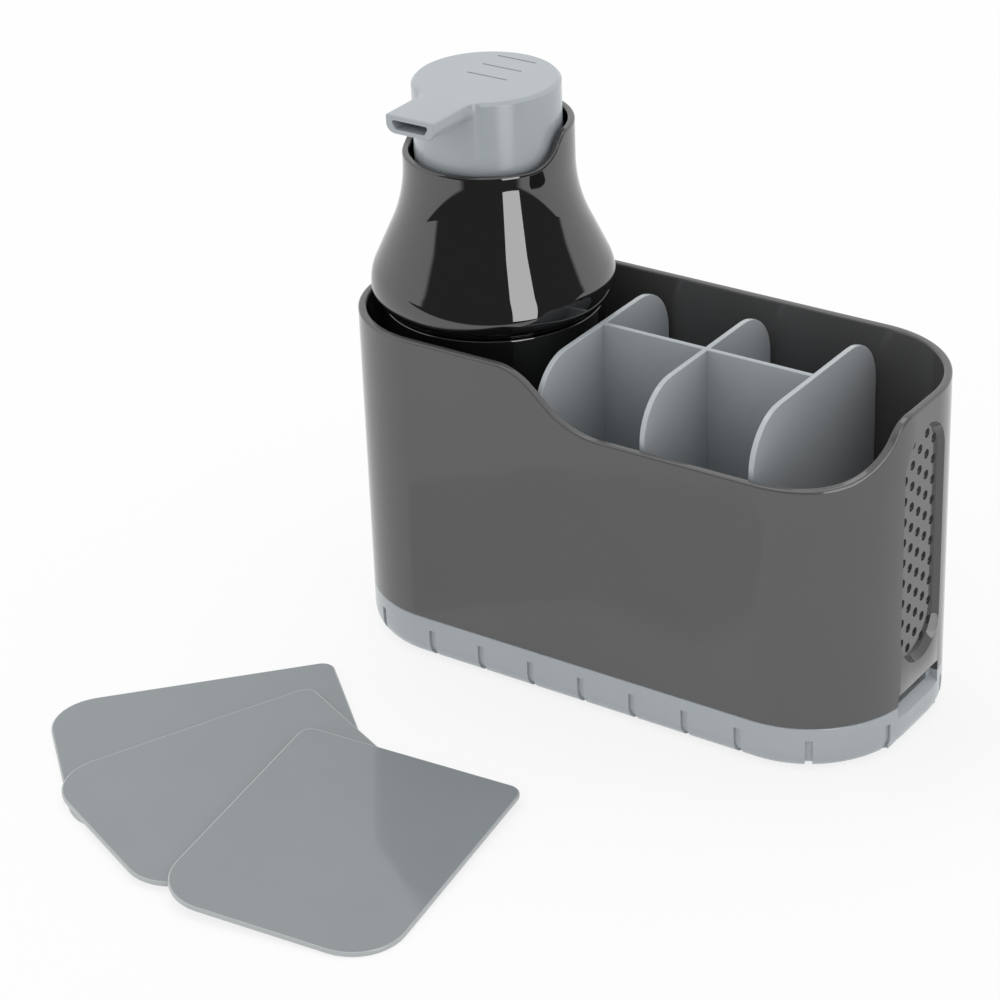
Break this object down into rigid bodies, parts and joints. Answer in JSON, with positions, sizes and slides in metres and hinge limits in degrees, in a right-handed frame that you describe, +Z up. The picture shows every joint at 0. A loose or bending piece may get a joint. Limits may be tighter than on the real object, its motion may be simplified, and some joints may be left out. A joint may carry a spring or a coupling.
{
  "type": "soap pump caddy",
  "caption": "Bathroom caddy with a bell-shaped soap pump bottle, a divider insert in a scooped body with a perforated end, a drip tray and loose divider plates.",
  "frame": {"origin": "on the table under the middle of the drip tray's flat underside", "axes": "+X along the caddy toward its perforated end, -Y toward the low front rim and the spout, +Z up"},
  "size_m": [0.2648, 0.2663, 0.2096],
  "materials": {
    "grey_satin": "satin blue-grey moulded plastic",
    "plate_grey": "half-gloss grey sheet plastic",
    "dark_gloss": "glossy dark grey moulded plastic",
    "black_gloss": "piano black moulded plastic",
    "natural_plastic": "uncoloured milky plastic",
    "seal_rubber": "soft matt rubber",
    "spring_steel": "drawn stainless steel"
  },
  "bodies": {
    "tray": {"drip_tray": "grey_satin"},
    "caddy": {"caddy_body": "dark_gloss"},
    "dividers": {"divider_insert": "grey_satin"},
    "reservoir": {"soap_reservoir": "black_gloss"},
    "bell": {"bottle_bell": "black_gloss", "bell_seal": "seal_rubber", "pump_closure": "natural_plastic", "housing_gasket": "seal_rubber", "pump_housing": "natural_plastic", "stem_guide": "natural_plastic", "dip_tube": "natural_plastic", "return_spring": "spring_steel"},
    "valve_ball": {"inlet_ball": "spring_steel"},
    "head": {"pump_head": "grey_satin", "pump_stem": "natural_plastic", "stem_plug": "natural_plastic", "piston_seal": "seal_rubber"},
    "plate_back": {"loose_plate_back": "plate_grey"},
    "plate_middle": {"loose_plate_middle": "plate_grey"},
    "plate_front": {"loose_plate_front": "plate_grey"}
  },
  "joints": [
    {"name": "caddy_lift", "type": "slide", "parent": "tray", "child": "caddy", "axis": [0, 0, 1], "range_m": [0, 0.03]},
    {"name": "divider_lift", "type": "slide", "parent": "caddy", "child": "dividers", "axis": [0, 0, 1], "range_m": [0, 0.11]},
    {"name": "reservoir_lift", "type": "slide", "parent": "caddy", "child": "reservoir", "axis": [0, 0, 1], "range_m": [0, 0.11]},
    {"name": "bell_lift", "type": "slide", "parent": "reservoir", "child": "bell", "axis": [0, 0, 1], "range_m": [0, 0.105]},
    {"name": "ball_lift", "type": "slide", "parent": "bell", "child": "valve_ball", "axis": [0, 0, 1], "range_m": [0, 0.003]},
    {"name": "head_press", "type": "slide", "parent": "bell", "child": "head", "axis": [0, 0, -1], "range_m": [0, 0.012], "stiffness_N_per_m": 400, "springref_m": -0.01, "deforming": ["return_spring"]},
    {"name": "plate_back_lift", "type": "slide", "parent": "tray", "child": "plate_back", "axis": [0, 0, 1], "range_m": [0, 0.06]},
    {"name": "plate_middle_lift", "type": "slide", "parent": "plate_back", "child": "plate_middle", "axis": [0, 0, 1], "range_m": [0, 0.06]},
    {"name": "plate_front_lift", "type": "slide", "parent": "plate_middle", "child": "plate_front", "axis": [0, 0, 1], "range_m": [0, 0.06]}
  ]
}
